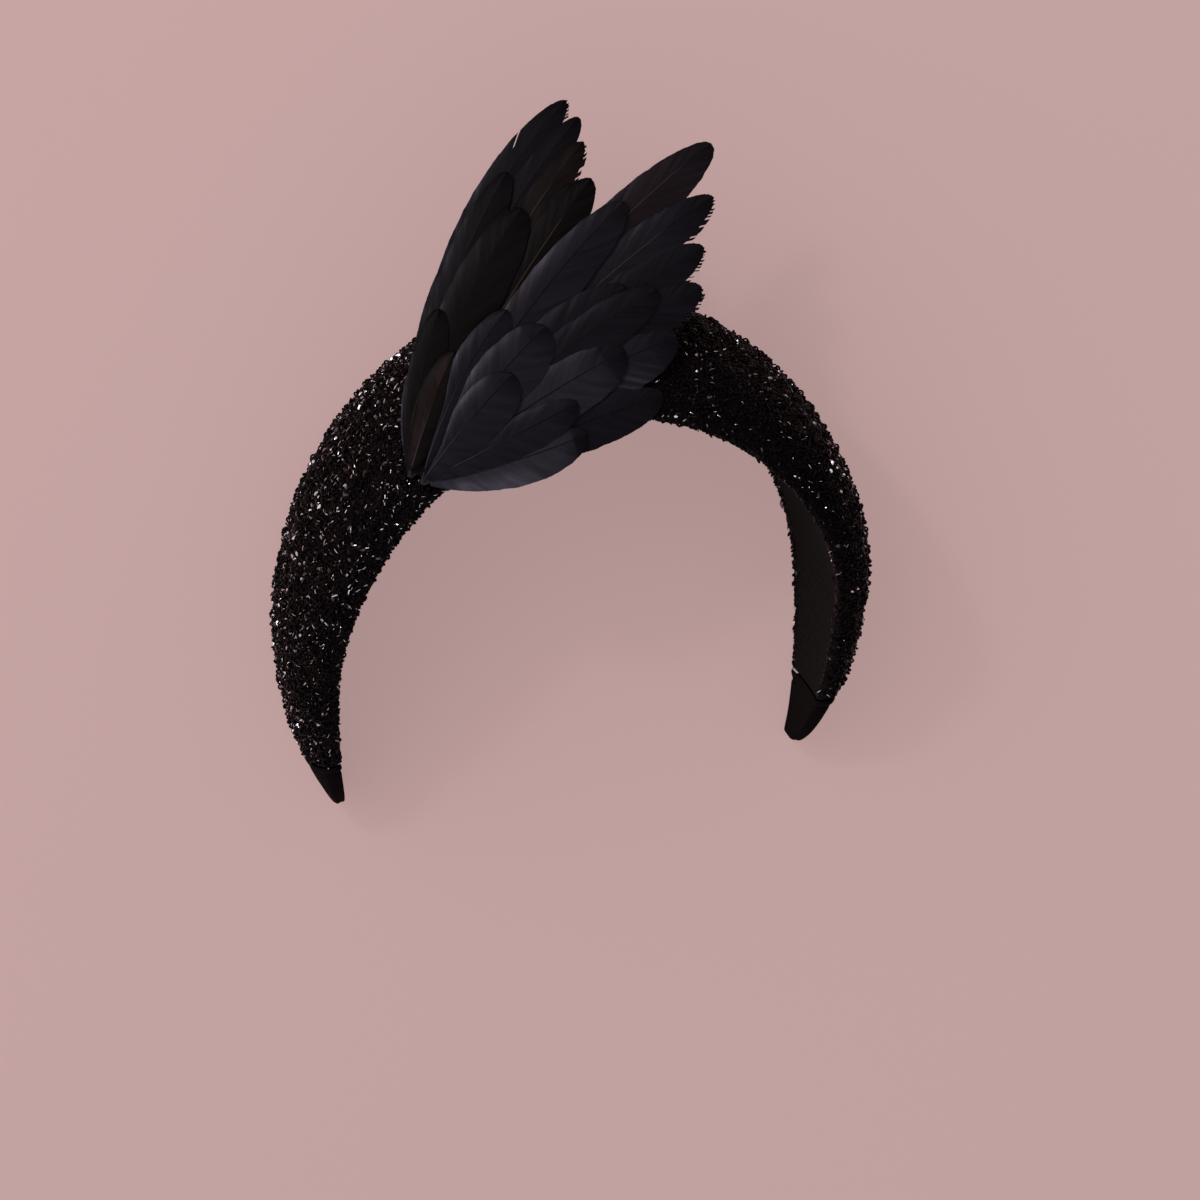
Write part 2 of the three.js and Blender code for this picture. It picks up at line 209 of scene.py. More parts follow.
def band_section(share, turn, narrowing=1.0, inset=0.0, rounding=1.0):
    """Points on the band's outline. Share is the place on the arch, -1 right tip, 0 crown, 1 left tip,
    and follows two half ellipses that meet at the widest line. Turn goes round the section, 0 to 1 over
    the outer face from rear to front and 1 to 2 back over the inner one. The outer face bulges as a
    half ellipse on a hem, and quarter circles with half the hem as radius round the edges. Narrowing
    and rounding scale the width and those circles, and the outer face is lowered by the inset."""
    share, turn = np.broadcast_arrays(np.asarray(share, float), np.asarray(turn, float) % 2)
    sweep = np.radians(ARCH_SWEEP)
    angle = sweep * share
    rise = np.where(np.cos(angle) > 0, CROWN_RISE, TIP_DROP / abs(np.cos(sweep)))
    out_x = rise * np.sin(angle)
    out_y = HEAD_HALF_WIDTH * np.cos(angle)
    size = np.hypot(out_x, out_y)
    side = np.sin(angle) ** 2
    reach = np.abs(share)
    width = (TIP_WIDTH + (CROWN_WIDTH - TIP_WIDTH) * (1 - reach ** WIDTH_TAPER)) * narrowing
    thin = np.clip((reach - FLAT_SHARE) / (1 - FLAT_SHARE), 0, None)
    full = CROWN_PADDING * (1 - side) + SIDE_PADDING * side
    padding = np.maximum(HEM, full * (1 - thin ** 2) + HEM * thin ** 2)
    across = (1 - np.cos(np.pi * (turn % 1))) / 2
    across = np.where(turn < 1, across, 1 - across)
    edge = 2 * across - 1
    cup = (CROWN_CUP * (1 - side) + SIDE_CUP * side) * edge ** 2 * (1 - share ** 4)
    to_edge = np.clip(1 - np.minimum(across, 1 - across) * width / (HEM / 2), 0, 1)
    round_off = rounding * HEM / 2 * (1 - np.sqrt(1 - to_edge ** 2))
    bulge = HEM + (padding - HEM) * np.sqrt(np.clip(1 - edge ** 2, 0, 1))
    offset = np.where(turn < 1, bulge - round_off - inset, round_off) - cup
    x = HEAD_HALF_WIDTH * np.sin(angle) + out_x / size * offset
    y = rise * np.cos(angle) + out_y / size * offset - CROWN_RISE - (HEM / 2 - CROWN_CUP)
    return np.stack([x, y, width * across], -1)


def grid_faces(rows, columns):
    """Quads of a grid of points that are numbered row after row."""
    row, column = np.meshgrid(np.arange(rows - 1), np.arange(columns - 1), indexing="ij")
    a = row * columns + column
    return np.stack([a, a + 1, a + 1 + columns, a + columns], -1).reshape(-1, 4)


def grid_lengths(points):
    """How far each point of a grid is along its own column's start and along its own row, in mm."""
    along = np.linalg.norm(np.diff(points[:, 0], axis=0, prepend=points[:1, 0]), axis=1).cumsum()
    across = np.linalg.norm(np.diff(points, axis=1, prepend=points[:, :1]), axis=2).cumsum(1)
    return np.stack([np.broadcast_to(along[:, None], across.shape), across], -1).reshape(-1, 2)


def new_group(name, inputs, outputs):
    """An empty shader node group with float inputs, each with its default, and float outputs."""
    group = bpy.data.node_groups.new(name, "ShaderNodeTree")
    for key, value in inputs.items():
        socket = group.interface.new_socket(name=key, in_out="INPUT", socket_type="NodeSocketFloat")
        socket.default_value = value
    for key in outputs:
        group.interface.new_socket(name=key, in_out="OUTPUT", socket_type="NodeSocketFloat")
    return group, group.nodes.new("NodeGroupInput"), group.nodes.new("NodeGroupOutput")


def ramp(tree, *stops):
    """A colour ramp with a colour at each place. Stops are pairs of a place and a colour."""
    node = tree.nodes.new("ShaderNodeValToRGB")
    elements = node.color_ramp.elements
    while len(elements) < len(stops):
        elements.new(1.0)
    for element, (position, color) in zip(elements, stops):
        element.position = position
        element.color = (*color, 1)
    return node


weave_group, weave_in, weave_out = new_group("plain weave", {"Threads per mm": 1.9},
                                             ["Height", "Shade"])
weave_uv = add(weave_group, "ShaderNodeUVMap", uv_map="UVMap")
weave_scale = add(weave_group, "ShaderNodeVectorMath", operation="SCALE")
weave_warp = add(weave_group, "ShaderNodeTexWave", bands_direction="X", in_Scale=0.31,
                 in_Distortion=1.0, in_Detail=1.0)
weave_weft = add(weave_group, "ShaderNodeTexWave", bands_direction="Y", in_Scale=0.31,
                 in_Distortion=1.0, in_Detail=1.0)
weave_slub = add(weave_group, "ShaderNodeTexNoise", in_Scale=0.3, in_Detail=3.0)
weave_cross = add(weave_group, "ShaderNodeMath", operation="MULTIPLY")
wire(weave_group, (weave_uv, "UV", weave_scale, 0), (weave_in, "Threads per mm", weave_scale, "Scale"),
     (weave_scale, 0, weave_warp, "Vector"), (weave_scale, 0, weave_weft, "Vector"),
     (weave_scale, 0, weave_slub, "Vector"), (weave_warp, "Fac", weave_cross, 0),
     (weave_weft, "Fac", weave_cross, 1), (weave_cross, 0, weave_out, "Height"),
     (weave_slub, "Fac", weave_out, "Shade"))


def weave_material(name, dark, light, depth):
    """Matte cloth whose colour wanders from dark to light, with the weave as a bump that deep in mm."""
    material, tree, shader = new_material(name, dark, 0.8, Specular_IOR_Level=0.02)
    weave = add(tree, "ShaderNodeGroup", node_tree=weave_group)
    shade = ramp(tree, (0.3, dark), (0.75, light))
    bump = add(tree, "ShaderNodeBump", in_Strength=0.8, in_Distance=depth * MM)
    wire(tree, (weave, "Shade", shade, "Fac"), (shade, "Color", shader, "Base Color"),
         (weave, "Height", bump, "Height"), (bump, "Normal", shader, "Normal"))
    return material


inner_cloth = weave_material("inner cloth", CLOTH_BLACK, (0.01, 0.009, 0.0095), 0.12)
under_knit = weave_material("cloth under the knit", YARN_BLACK, (0.007, 0.006, 0.006), 0.2)

pad_share = np.linspace(-CAP_START, CAP_START, HALO_ROWS)[:, None]
pad_turn = np.linspace(0, 2, HALO_ROUND + 1)[None]
pad_turn[0, -1] = 0
pad_points = band_section(pad_share, pad_turn, inset=CLOTH_INSET)
pad_faces = grid_faces(HALO_ROWS, HALO_ROUND + 1)
pad_is_inner = pad_faces[:, 0] % (HALO_ROUND + 1) >= HALO_ROUND / 2
halo_pad = place("halo_pad", pad_points.reshape(-1, 3), pad_faces, [under_knit, inner_cloth],
                 face_material=pad_is_inner, uv=grid_lengths(pad_points))
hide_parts("halo_band")
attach(halo_pad, "root")


# The knit. A sleeve of bumpy black loop yarn with a bright filament in it, drawn over the foam and
# turned over both edges. It is made of pairs of leaning stitch legs, each one a short faceted lens,
# with small open loops of yarn that stand up among them.
STITCH_PITCH = 1.75      # along the band, in mm
STITCH_SPACING = 1.45    # round it
STITCH_JITTER = (0.0011, 0.004)  # deviation of share and turn
KNIT_MARGIN = 0.004      # of the share, between the first stitches and the caps
TURNED_OVER = 0.17       # of a face that the knit covers on the inner side
LEG_LENGTH = 2.4
LEG_WIDTH = 0.9
LEG_HEIGHT = 0.62
LEG_APART = 0.3          # of the spacing, from the middle of a stitch to each leg
LEG_LEAN = (34, 20)      # from the band's length: mean and deviation, in degrees
LEG_PITCH = (8, 14)      # out of the surface
LEG_ROLL = (0, 18)       # about the leg's own length
LEG_LIFT = (1.2, 0.11, -0.42)    # out of the outline: shape and scale of a gamma curve, and its start
LEG_POINTS = 14
FOIL_SHARE = 0.14        # of the legs, which show the bright filament
FOIL_LENGTH = 0.62       # of such a leg, against the others
FOIL_WIDTH = 0.32
FOIL_SPREAD = 0.32       # of those sizes, as the deviation of their logarithm
FOIL_LIFT = 0.3
FOIL_LOSS = 0.65         # of the bright legs made plain: painted shade left of the crown, and fewer next to each cap
PAINTED_SHADE_SHARES = (-0.2, 0.1)        # between which that painted shade sets in
FOIL_THINNING_AT_CAP = 0.03       # of the share, next to each cap
FOIL_DIM = (0.1, 0.085, 0.095)
FOIL_BRIGHT = (0.95, 0.9, 0.97)
KNIT_PARTS = [           # from one share of the arch to another
    ("knit_right", -1, -0.42),
    ("knit_crown_right", -0.42, 0),
    ("knit_crown_left", 0, 0.42),
    ("knit_left", 0.42, 1),
]
LOOP_COUNT = 2600
LOOP_MARGIN = 0.01       # of the share, next to each cap
LOOP_RADIUS = 0.85
LOOP_RISE = 1.1          # of a loop, against its half width
LOOP_YARN = 0.3
LOOP_STEPS = 7           # rings along a loop
LOOP_SIDES = 5
knit_rng = np.random.default_rng(11)


def band_frame(share, turn):
    """Points of the outline with unit vectors along the band, round the section and outward."""
    step = 0.002
    along = band_section(share + step, turn) - band_section(share - step, turn)
    around = band_section(share, turn + step) - band_section(share, turn - step)
    along /= np.linalg.norm(along, axis=-1, keepdims=True)
    around /= np.linalg.norm(around, axis=-1, keepdims=True)
    outward = np.cross(around, along)
    outward /= np.linalg.norm(outward, axis=-1, keepdims=True)
    return band_section(share, turn), along, around, outward


def ease(value, start, end):
    """0 before start and 1 after end, with a smooth change between them."""
    share = np.clip((value - start) / (end - start), 0, 1)
    return share * share * (3 - 2 * share)


def knit_places():
    """Share and turn of each stitch: rows at an even pitch along the crest, each evenly divided round
    the band, from a random start."""
    share = np.linspace(-CAP_START + KNIT_MARGIN, CAP_START - KNIT_MARGIN, 900)
    crest = band_section(share, 0.5)
    length = np.linalg.norm(np.diff(crest, axis=0, prepend=crest[:1]), axis=1).cumsum()
    rows = np.interp(np.arange(0, length[-1], STITCH_PITCH), length, share)
    turn = np.linspace(-TURNED_OVER, 1 + TURNED_OVER, 300)
    section = band_section(rows[:, None], turn[None])
    girth = np.linalg.norm(np.diff(section, axis=1, prepend=section[:, :1]), axis=2).cumsum(1)
    counts = np.round(girth[:, -1] / STITCH_SPACING).astype(int)
    stagger = knit_rng.uniform(0.2, 0.8, len(rows))
    turns = [np.interp((np.arange(count) + offset) / count * far[-1], far, turn)
             for count, offset, far in zip(counts, stagger, girth)]
    return np.repeat(rows, counts), np.concatenate(turns)


def leg_mesh(centre, along, across, outward, length, width, height):
    """Points and faces of one lens for each centre: three arched rings of four points and a point at
    each end, stretched to its own length, width and height. Each ring is part of a circle that is open
    below, and the ends are joined to their ring by three triangles."""
    ends = np.array([-1, -0.6, 0.1, 0.72, 1])
    radius = np.array([0, 0.8, 1, 0.72, 0])
    arch = np.radians([-20, 50, 130, 200])
    u = np.concatenate([[ends[0]], np.repeat(ends[1:4], 4), [ends[4]]])
    v = np.concatenate([[0], np.outer(radius[1:4], np.cos(arch)).ravel(), [0]])
    w = np.concatenate([[0.1], np.outer(radius[1:4], np.sin(arch)).ravel(), [0.1]])
    points = (centre[:, None] + u[:, None] * (length[:, None] / 2 * along)[:, None]
              + v[:, None] * (width[:, None] / 2 * across)[:, None]
              + w[:, None] * (height[:, None] * outward)[:, None])
    step = np.arange(3)
    near = np.stack([0 * step, 1 + step, 2 + step], -1)
    far = np.stack([LEG_POINTS - 1 + 0 * step, 10 + step, 9 + step], -1)
    first = np.stack([1 + step, 5 + step, 6 + step, 2 + step], -1)
    quads = np.concatenate([first, first + 4])
    lens = np.concatenate([near, far, quads[:, [0, 1, 2]], quads[:, [0, 2, 3]]])
    faces = lens[None] + LEG_POINTS * np.arange(len(centre))[:, None, None]
    return points.reshape(-1, 3), faces.reshape(-1, 3)


yarn_material, yarn_tree, yarn_shader = new_material("loop yarn", YARN_BLACK, 0.3,
                                                     Specular_IOR_Level=0.05,
                                                     Specular_Tint=(1, 0.68, 0.8, 1))
yarn_tone = add(yarn_tree, "ShaderNodeAttribute", attribute_name="tone")
foil_from = 1 - FOIL_SHARE
yarn_color = ramp(yarn_tree, (0.0, YARN_BLACK), (foil_from - 0.022, (0.0015, 0.0011, 0.0012)),
                  (foil_from - 0.012, (0.03, 0.013, 0.007)), (foil_from, FOIL_DIM), (1.0, FOIL_BRIGHT))
yarn_metal = ramp(yarn_tree, (foil_from - 0.002, (0, 0, 0)), (foil_from, (1, 1, 1)))
yarn_rough = ramp(yarn_tree, (0.2, (0.4, 0.4, 0.4)), (foil_from - 0.01, (0.3, 0.3, 0.3)),
                  (foil_from, (0.13, 0.13, 0.13)))
for yarn_ramp, yarn_input in ((yarn_color, "Base Color"), (yarn_metal, "Metallic"),
                              (yarn_rough, "Roughness")):
    wire(yarn_tree, (yarn_tone, "Fac", yarn_ramp, "Fac"), (yarn_ramp, "Color", yarn_shader, yarn_input))

stitch_share, stitch_turn = knit_places()
stitch_share = stitch_share + knit_rng.normal(0, STITCH_JITTER[0], stitch_share.shape)
stitch_turn = stitch_turn + knit_rng.normal(0, STITCH_JITTER[1], stitch_turn.shape)
leg_share = np.concatenate([stitch_share, stitch_share])
leg_turn = np.concatenate([stitch_turn, stitch_turn])
leg_side = np.repeat([-1.0, 1.0], len(stitch_share))[:, None]
leg_count = len(leg_share)
centre, along, around, outward = band_frame(leg_share, leg_turn)
lean = np.radians(knit_rng.normal(*LEG_LEAN, leg_count))[:, None]
pitch = np.radians(knit_rng.normal(*LEG_PITCH, leg_count))[:, None]
roll = np.radians(knit_rng.normal(*LEG_ROLL, leg_count))[:, None]
direction = np.cos(lean) * along + leg_side * np.sin(lean) * around
leg_along = np.cos(pitch) * direction + np.sin(pitch) * outward
leg_up = np.cos(pitch) * outward - np.sin(pitch) * direction
leg_aside = np.cross(outward, direction)
leg_across = np.cos(roll) * leg_aside + np.sin(roll) * leg_up
leg_outward = np.cos(roll) * leg_up - np.sin(roll) * leg_aside
leg_lift = knit_rng.gamma(*LEG_LIFT[:2], leg_count) + LEG_LIFT[2]
leg_length = LEG_LENGTH * knit_rng.uniform(0.75, 1.15, leg_count)
leg_width = LEG_WIDTH * knit_rng.uniform(0.75, 1.2, leg_count)
leg_height = LEG_HEIGHT * knit_rng.uniform(0.8, 1.3, leg_count)
leg_tone = knit_rng.uniform(0, 1, leg_count)
# Painted shade: left of the crown, the side away from the light, some bright legs become plain yarn;
# next to each cap some do too.
drop = np.maximum(ease(leg_share, *PAINTED_SHADE_SHARES),
                  ease(np.abs(leg_share), CAP_START - FOIL_THINNING_AT_CAP, CAP_START))
leg_tone = np.where(knit_rng.uniform(0, 1, leg_count) < FOIL_LOSS * drop, 0.8 * leg_tone, leg_tone)
is_foil = leg_tone > foil_from
foil_size = knit_rng.lognormal(0, FOIL_SPREAD, leg_count)
leg_length = np.where(is_foil, FOIL_LENGTH * foil_size * leg_length, leg_length)
leg_width = np.where(is_foil, FOIL_WIDTH * foil_size * leg_width, leg_width)
leg_lift = leg_lift + np.where(is_foil, FOIL_LIFT, 0.0)
leg_centre = centre + leg_side * LEG_APART * STITCH_SPACING * around + leg_lift[:, None] * outward
for name, low, high in KNIT_PARTS:
    chosen = (leg_share >= low) & (leg_share < high)
    points, faces = leg_mesh(leg_centre[chosen], leg_along[chosen], leg_across[chosen],
                             leg_outward[chosen], leg_length[chosen], leg_width[chosen],
                             leg_height[chosen])
    knit = place(name, points, faces, [yarn_material], smooth=False,
                 tone=np.repeat(leg_tone[chosen], LEG_POINTS))
    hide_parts("halo_band")
    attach(knit, "root")

# Each open loop is half an ellipse that stands on the knit, carried round by a ring of five points.
loop_share = knit_rng.uniform(LOOP_MARGIN - CAP_START, CAP_START - LOOP_MARGIN, LOOP_COUNT)
loop_turn = knit_rng.uniform(-0.05, 1.05, LOOP_COUNT)
centre, along, around, outward = band_frame(loop_share, loop_turn)
heading = knit_rng.uniform(0, 2 * np.pi, LOOP_COUNT)[:, None]
flat = np.cos(heading) * along + np.sin(heading) * around
aside = np.cross(outward, flat)
loop_radius = LOOP_RADIUS * knit_rng.uniform(0.6, 1.25, LOOP_COUNT)[:, None, None, None]
swing = np.linspace(0, np.pi, LOOP_STEPS)[None, :, None, None]
girdle = (np.arange(LOOP_SIDES) * 2 * np.pi / LOOP_SIDES)[None, None, :, None]
spoke = np.cos(swing) * flat[:, None, None] + LOOP_RISE * np.sin(swing) * outward[:, None, None]
loop_points = (centre[:, None, None] + loop_radius * spoke
               + LOOP_YARN * (np.cos(girdle) * spoke + np.sin(girdle) * aside[:, None, None]))
ring, step = np.meshgrid(np.arange(LOOP_STEPS - 1) * LOOP_SIDES, np.arange(LOOP_SIDES), indexing="ij")
ring_next = ring + LOOP_SIDES
step_next = (step + 1) % LOOP_SIDES
loop_quads = np.stack([ring + step, ring + step_next, ring_next + step_next, ring_next + step], -1)
loop_starts = LOOP_STEPS * LOOP_SIDES * np.arange(LOOP_COUNT)[:, None, None]
loop_faces = (loop_quads.reshape(1, -1, 4) + loop_starts).reshape(-1, 4)
loop_tone = np.repeat(knit_rng.uniform(0, foil_from - 0.03, LOOP_COUNT), LOOP_STEPS * LOOP_SIDES)
loops = place("knit_loops", loop_points.reshape(-1, 3), loop_faces, [yarn_material], tone=loop_tone)
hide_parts("halo_band")
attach(loops, "root")


# The end caps. Each tip of the band is bound in plain black cloth, folded under where it meets the
# knit and gathered to a small blunt nub at the very end.
CAP_NARROWING = 0.9      # how far the cap goes along a curve that closes at 1
CAP_BLUNTNESS = 6        # the power of that curve, which narrows late
CAP_GAP = 0.0026         # of the share, between the knit's edge and the cap
CAP_FOLD = 0.05          # of the section, how far the folded hem stands out and its seam is drawn in
FOLD_PLACE = (0.05, 0.04)        # of the cap's length: middle and width
SEAM_PLACE = (0.14, 0.03)
CAP_GATHERS = 9
GATHER_DEPTH = 0.07      # of the section, at the nub
CAP_CLOSING = 0.93       # of its length, from where the nub rounds off
CAP_ROWS = 46
CAP_ROUND = 72
cap_cloth = weave_material("cap cloth", (0.0022, 0.0015, 0.0018), (0.0045, 0.003, 0.0036), 0.06)


def swell(value, middle, width):
    """A bell curve of height 1."""
    return np.exp(-((value - middle) / width) ** 2)


for name, arm in (("right", -1), ("left", 1)):
    cap_along = np.linspace(0, 1, CAP_ROWS)[:, None]
    cap_turn = np.linspace(0, 2, CAP_ROUND + 1)[None]
    cap_turn[0, -1] = 0
    cap_share = CAP_START + CAP_GAP + (1 - CAP_START - CAP_GAP) * cap_along
    cap_narrowing = np.sqrt(1 - (CAP_NARROWING * cap_along) ** CAP_BLUNTNESS)
    cap_points = band_section(arm * cap_share, cap_turn, narrowing=cap_narrowing)
    middle = cap_points.mean(1, keepdims=True)
    hem = CAP_FOLD * (swell(cap_along, *FOLD_PLACE) - swell(cap_along, *SEAM_PLACE))
    gather = GATHER_DEPTH * cap_along ** 2 * np.cos(CAP_GATHERS * np.pi * cap_turn)
    closed = np.clip((cap_along - CAP_CLOSING) / (1 - CAP_CLOSING), 0, 1)
    size = (1 + hem + gather) * np.sqrt(1 - closed ** 2)
    cap_points = middle + (cap_points - middle) * size[..., None]
    if arm < 0:
        cap_points = cap_points[:, ::-1]
    cap = place(f"cap_{name}", cap_points.reshape(-1, 3), grid_faces(CAP_ROWS, CAP_ROUND + 1),
                [cap_cloth], uv=grid_lengths(cap_points))
    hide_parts(f"end_cap_{name}")
    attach(cap, "root")


# The wings' pad. A small round felt pad that is glued to the front edge of the band and carries the
# quills. It is domed, and its top follows the undersides of the lowest feathers.
ROOT_SHARE = -0.34       # where on the arch the quills meet
ROOT_ACROSS = 0.99       # and how far from its rear edge to its front edge
SPREAD_AXIS = 50         # degrees from the picture's right to the middle of the fan
SPREAD_TILT = 0.15       # the slope across the fan
SPREAD_BEND = 160        # radius of the bend across the fan, in mm
LENGTH_BEND = 500        # and along it
BEND_START = 30
PAD_X = 2                # the pad's middle, from the root
PAD_Y = 9
PAD_RADIUS = 7
PAD_DOME = 0.9           # how far its top falls to the edge
PAD_SIDE = 4.6           # height of its side
PAD_RINGS = 24
PAD_COLUMNS = 49
root_turn = np.arccos(1 - 2 * ROOT_ACROSS) / np.pi
wing_root = band_section(ROOT_SHARE, root_turn, rounding=0.0)


def wing_rise(x, y):
    """Height over the wings' plane, which is square to the camera: a slight tilt across the fan, less
    the sag of one circle across it and of a flatter one along it."""
    axis = np.radians(SPREAD_AXIS)
    along = x * np.cos(axis) + y * np.sin(axis)
    aside = y * np.cos(axis) - x * np.sin(axis)
    sag = aside ** 2 / (2 * SPREAD_BEND) + (along - BEND_START) ** 2 / (2 * LENGTH_BEND)
    return SPREAD_TILT * aside - sag


def from_wing(points):
    """Points in the wings' own axes, in the row frame."""
    return wing_root + points @ view


def node_heights(name):
    """Heights of a CAD node's vertices over the wings' surface."""
    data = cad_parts[name].data
    co = np.zeros(len(data.vertices) * 3)
    data.vertices.foreach_get("co", co)
    local = (co.reshape(-1, 3) / MM - wing_root) @ view.T
    return local[:, 2] - wing_rise(local[:, 0], local[:, 1])


felt = weave_material("felt", (0.005, 0.0045, 0.005), (0.012, 0.011, 0.012), 0.15)
felt_top = np.quantile(node_heights("wing_pad"), 0.75)
felt_ring = np.linspace(0, 2, PAD_RINGS)[:, None]
felt_angle = np.linspace(0, 2 * np.pi, PAD_COLUMNS)[None]
felt_radius = PAD_RADIUS * np.minimum(felt_ring, 1) * np.ones_like(felt_angle)
felt_x = PAD_X + felt_radius * np.cos(felt_angle)
felt_y = PAD_Y + felt_radius * np.sin(felt_angle)
felt_drop = PAD_DOME * np.clip(felt_ring, 0, 1) ** 6 + PAD_SIDE * np.clip(felt_ring - 1, 0, 1)
felt_z = wing_rise(felt_x, felt_y) + felt_top - felt_drop
felt_points = from_wing(np.stack([felt_x, felt_y, felt_z], -1))
wing_felt = place("wing_felt", felt_points.reshape(-1, 3), grid_faces(PAD_RINGS, PAD_COLUMNS), [felt],
                  uv=grid_lengths(felt_points))
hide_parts("wing_pad")
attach(wing_felt, "root")


# The feathers. Two fans of black wing feathers, shingled so that each lies over its upper left
# neighbour. A feather is a tapered quill with a narrow leading vane and a wide trailing one, of barbs
# that slant forward, part here and there and are ragged at the tip.
FRONT_REACH = 128.6      # of the longest feather, from the root to its tip
REAR_REACH = 117.2
REAR_SHIFT = (-3.4, 2)   # of the rear wing's root, right and up
BREADTH = 18             # of a feather whose breadth is 1 in the table
LEADING_SHARE = 0.42     # of the breadth, on the leading side of the shaft
QUILL_SHARE = 0.14       # of the breadth, where the vane starts
VANE_RISE = 3            # the power by which it widens from there
VANE_CROWN = 0.3         # height of the vane along the shaft, in mm
TRAILING_DROP = 0.5      # how far the vane falls from there to its trailing margin
LEADING_DROP = 0.75
VANE_HOLLOW = 0.05       # how far it is hollowed between the two, past its middle
TIP_DROOP = 0.5
DROOP_FROM = 0.72        # of the length
CLUMP_RISE = 0.08        # how far clumps of barbs stand out at the margin
CLUMP_STEP = 3.4         # from one such clump to the next
MARGIN_ROUGH = 0.005     # deviation of the margin from barb to barb, as a share of its distance
MARGIN_WAVE = 0.012      # and in slow waves
MARGIN_STEP = 3.0        # from one of those waves to the next
FRAY = (0.1, 0.3)        # deviation of the barbs' length at plain and frayed tips, in mm
FRAY_FROM = 0.8          # of the length
FRINGE_SHARE = 0.45      # of the outermost barbs, missing at a frayed tip
FRINGE_FROM = 0.78
BARB_ROWS = 120
BARB_STEPS = 9
BARB_SWEEP = 1.55        # how far a barb runs ahead of its own foot
BARB_CURVE = 1.15        # how much it bends on its way out
VANE_TAN = (0.0108, 0.006, 0.0055)
VANE_BROWN = (0.006, 0.0036, 0.0032)
FRONT_HUE = 0.62
REAR_HUE = 0.4
PLAIN_GLEAM = (0.2, 0.6)         # the strength of the painted rim highlight, where it is left to chance
HUE_STEP = 9.0           # how far apart the changes of hue, the patches of tan and painted highlight and the highlight's streaks are, in mm
PATCH_STEP = 4.0
STREAK_STEP = 0.9
RIB_PITCH = 4.5
QUILL_RADIUS = 0.75
SHAFT_RADIUS = 0.24      # where the vane starts
SHAFT_POINT = 0.08       # and at the tip
SHAFT_END = 0.985        # of the length
QUILL_LEVEL = 0.4        # of all quills at the root, over the wings' surface
SHAFT_ROWS = 60
SHAFT_ROUND = 8
FEATHERS = {             # angle, share of the reach, breadth, bow, where its vane starts, bluntness
    "rear_primary": [
        (67.8, 1.0, 0.82, 0.085, 0.16, 6),
        (65.1, 0.975, 0.76, 0.06, 0.16, 5),
        (62.8, 0.925, 0.74, 0.045, 0.17, 6),
        (61.3, 0.82, 0.78, 0.035, 0.18, 6),
        (58.9, 0.855, 0.86, 0.02, 0.18, 5),
        (50, 0.704, 0.9, 0.01, 0.2, 6),
        (42, 0.63, 0.9, 0, 0.2, 6),
        (33, 0.555, 0.9, 0, 0.2, 6),
    ],
    "rear_covert": [
        (77.5, 0.583, 0.62, 0.04, 0.18, 5),
        (72.4, 0.784, 0.74, 0.05, 0.14, 5),
        (72.7, 0.5, 0.66, 0.03, 0.18, 5),
        (67.5, 0.712, 0.95, 0.05, 0.14, 5),
    ],
    "rear_small_covert": [
        (85, 0.29, 0.5, 0.02, 0.06, 5),
        (80, 0.416, 0.6, 0.03, 0.08, 5),
        (74.7, 0.282, 0.5, 0.02, 0.06, 5),
        (70, 0.326, 0.66, 0.02, 0.06, 5),
    ],
    "front_primary": [
        (49.8, 1.0, 1.0, 0.05, 0.14, 5),
        (44.8, 0.915, 0.9, 0.045, 0.15, 6),
        (40.3, 0.823, 0.92, 0.04, 0.16, 6),
        (35.3, 0.765, 0.95, 0.035, 0.17, 6),
        (30.3, 0.657, 1.0, 0.03, 0.18, 6),
        (20.6, 0.574, 0.85, 0, 0.2, 5),
    ],
    "front_covert": [
        (54.4, 0.774, 0.9, 0.04, 0.13, 5),
        (44.1, 0.631, 1.0, 0.045, 0.14, 6),
        (39.6, 0.68, 0.85, 0.04, 0.14, 6),
        (33.4, 0.54, 1.0, 0.02, 0.15, 6),
        (16.8, 0.385, 0.8, -0.03, 0.05, 5),
    ],
    "front_small_covert": [
        (63.8, 0.43, 0.72, 0.05, 0.06, 5),
        (51.6, 0.445, 1.0, 0.03, 0.06, 7),
        (27.2, 0.391, 0.68, 0, 0.06, 6),
        (49.9, 0.317, 0.85, 0.02, 0.05, 7),
    ],
}
GLEAMS = {               # strength of the painted highlight on the leading rim, where it isn't left to chance
    "rear_primary_1": 0.9, "rear_primary_2": 0.9, "rear_primary_3": 0.3, "rear_covert_1": 0.9,
    "rear_covert_2": 0.9, "rear_covert_4": 0.7, "rear_small_covert_1": 0.9, "front_covert_1": 1.5,
    "front_small_covert_1": 1.5, "front_small_covert_2": 1.3, "front_primary_2": 1.1,
    "front_covert_5": 1.2, "front_primary_5": 1.1, "front_covert_4": 0.9, "front_small_covert_4": 1.0,
}
HUES = {                 # 0 tan, 0.1 brown, 0.2 to 0.5 black, 0.75 blue black, 1 purple
    "rear_primary_1": 0.72, "rear_primary_2": 0.7, "rear_primary_3": 0.12, "rear_primary_4": 0.17,
    "rear_covert_1": 0.72, "rear_covert_2": 0.62, "rear_small_covert_3": 0.08,
    "rear_small_covert_4": 0.17, "front_primary_1": 0.97, "front_covert_1": 0.82,
}
PALE_VANES = {           # light that is added over the whole vane
    "front_primary_2": 0.06, "front_primary_5": 0.1, "front_covert_4": 0.2, "front_covert_5": 0.34,
    "front_small_covert_2": 0.08, "front_small_covert_3": 0.04, "front_small_covert_4": 0.05,
}
TAN_SHAFTS = {           # the shaft is tan up to this share of the length
    "rear_primary_3": 0.84, "rear_primary_5": 0.84, "front_primary_1": 0.9, "front_primary_2": 0.83,
}
NARROW_FROM = {          # the leading vane is only a rim before these shares of the length
    "front_small_covert_1": (0.3, 0.7), "front_small_covert_2": (0.1, 0.6),
    "front_small_covert_4": (0.1, 0.6),
}
